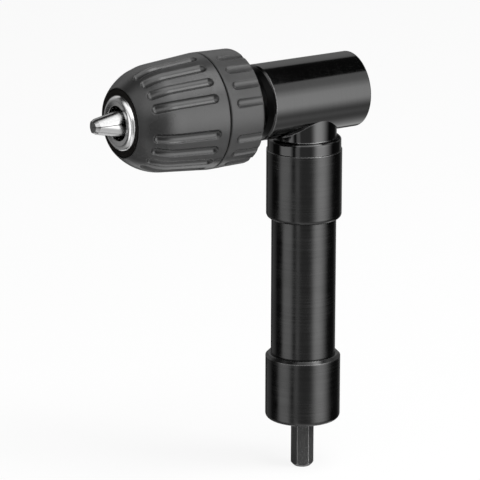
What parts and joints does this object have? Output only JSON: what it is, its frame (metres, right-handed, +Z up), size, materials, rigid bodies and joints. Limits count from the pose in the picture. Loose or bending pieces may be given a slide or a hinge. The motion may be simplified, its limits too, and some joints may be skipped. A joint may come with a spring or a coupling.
{
  "type": "right angle drill attachment",
  "caption": "Right angle drill attachment: bevel gear head on a tubular column, hex input shank below and a keyless three-jaw chuck at the side.",
  "frame": {"origin": "centre of the hex shank's lower end, on the input axis", "axes": "+Z up the input axis towards the gear head; the output axis is parallel to X and the chuck points towards -X"},
  "size_m": [0.0947, 0.0364, 0.1408],
  "materials": {
    "head_black": "gloss black",
    "column_black": "satin black over turned steel",
    "shank_steel": "blackened, bare edges",
    "grip_plastic": "moulded, matt",
    "nose_black": "matt",
    "nose_steel": "turned and polished",
    "jaw_steel": "ground",
    "seal_rubber": "matt",
    "gear_steel": "machined, oiled",
    "clip_steel": "phosphated",
    "nut_steel": "hardened",
    "bearing_steel": "ground"
  },
  "bodies": {
    "housing": {"head_housing": "head_black", "front_cap": "head_black", "rear_plug": "head_black", "spindle_seal": "seal_rubber", "front_bearing_outer": "bearing_steel", "front_bearing_clip": "clip_steel", "rear_bearing_outer": "bearing_steel", "upper_bearing_outer": "bearing_steel", "upper_bearing_clip": "clip_steel", "upper_collar": "column_black", "body_tube": "column_black", "lower_collar": "column_black", "lower_bearing_outer": "bearing_steel", "shaft_seal": "seal_rubber"},
    "output": {"output_spindle": "gear_steel", "output_gear": "gear_steel", "output_key": "clip_steel", "front_bearing_inner": "bearing_steel", "spindle_clip": "clip_steel", "rear_bearing_inner": "bearing_steel", "chuck_body": "nose_steel", "chuck_screw": "clip_steel", "rear_ring": "grip_plastic", "nose_ring": "nose_black", "thrust_race": "bearing_steel"},
    "input": {"input_shaft": "shank_steel", "input_gear": "gear_steel", "input_key": "clip_steel", "upper_bearing_inner": "bearing_steel", "lower_bearing_inner": "bearing_steel"},
    "front_cage": {"front_bearing_balls": "bearing_steel"},
    "rear_cage": {"rear_bearing_balls": "bearing_steel"},
    "upper_cage": {"upper_bearing_balls": "bearing_steel"},
    "lower_cage": {"lower_bearing_balls": "bearing_steel"},
    "sleeve": {"front_sleeve": "grip_plastic", "nut_half_front": "nut_steel", "nut_half_back": "nut_steel", "nut_band": "clip_steel"},
    "thrust_set": {"thrust_balls": "bearing_steel"},
    "jaw_1": {"jaw_1": "jaw_steel"},
    "jaw_2": {"jaw_2": "jaw_steel"},
    "jaw_3": {"jaw_3": "jaw_steel"}
  },
  "joints": [
    {"name": "chuck_spin", "type": "hinge", "parent": "housing", "child": "output", "pos_m": [-0.02, 0, 0.1225], "axis": [1, 0, 0], "continuous": true},
    {"name": "input_spin", "type": "hinge", "parent": "housing", "child": "input", "pos_m": [0, 0, 0.05], "axis": [0, 0, 1], "continuous": true},
    {"name": "front_cage_spin", "type": "hinge", "parent": "housing", "child": "front_cage", "pos_m": [-0.016, 0, 0.1225], "axis": [1, 0, 0], "continuous": true},
    {"name": "rear_cage_spin", "type": "hinge", "parent": "housing", "child": "rear_cage", "pos_m": [0.013, 0, 0.1225], "axis": [1, 0, 0], "continuous": true},
    {"name": "upper_cage_spin", "type": "hinge", "parent": "housing", "child": "upper_cage", "pos_m": [0, 0, 0.11], "axis": [0, 0, 1], "continuous": true},
    {"name": "lower_cage_spin", "type": "hinge", "parent": "housing", "child": "lower_cage", "pos_m": [0, 0, 0.023], "axis": [0, 0, 1], "continuous": true},
    {"name": "sleeve_turn", "type": "hinge", "parent": "output", "child": "sleeve", "pos_m": [-0.05, 0, 0.1225], "axis": [-1, 0, 0], "range_deg": [0, 5208]},
    {"name": "thrust_roll", "type": "hinge", "parent": "output", "child": "thrust_set", "pos_m": [-0.0485, 0, 0.1225], "axis": [-1, 0, 0], "range_deg": [0, 2604]},
    {"name": "jaw_1_slide", "type": "slide", "parent": "output", "child": "jaw_1", "axis": [0.9703, -0.0906, 0.2243], "range_m": [0, 0.02171]},
    {"name": "jaw_2_slide", "type": "slide", "parent": "output", "child": "jaw_2", "axis": [0.9703, 0.2396, -0.0337], "range_m": [0, 0.02171]},
    {"name": "jaw_3_slide", "type": "slide", "parent": "output", "child": "jaw_3", "axis": [0.9703, -0.1489, -0.1906], "range_m": [0, 0.02171]}
  ],
  "couplings": [
    {"joint": "input_spin", "follows": "chuck_spin", "ratio": 1},
    {"joint": "front_cage_spin", "follows": "chuck_spin", "ratio": 0.4181},
    {"joint": "rear_cage_spin", "follows": "chuck_spin", "ratio": 0.4086},
    {"joint": "upper_cage_spin", "follows": "chuck_spin", "ratio": 0.4181},
    {"joint": "lower_cage_spin", "follows": "chuck_spin", "ratio": 0.3924},
    {"joint": "thrust_roll", "follows": "sleeve_turn", "ratio": 0.5},
    {"joint": "jaw_1_slide", "follows": "sleeve_turn", "m_per_rad": 0.00023873},
    {"joint": "jaw_2_slide", "follows": "sleeve_turn", "m_per_rad": 0.00023873},
    {"joint": "jaw_3_slide", "follows": "sleeve_turn", "m_per_rad": 0.00023873}
  ]
}
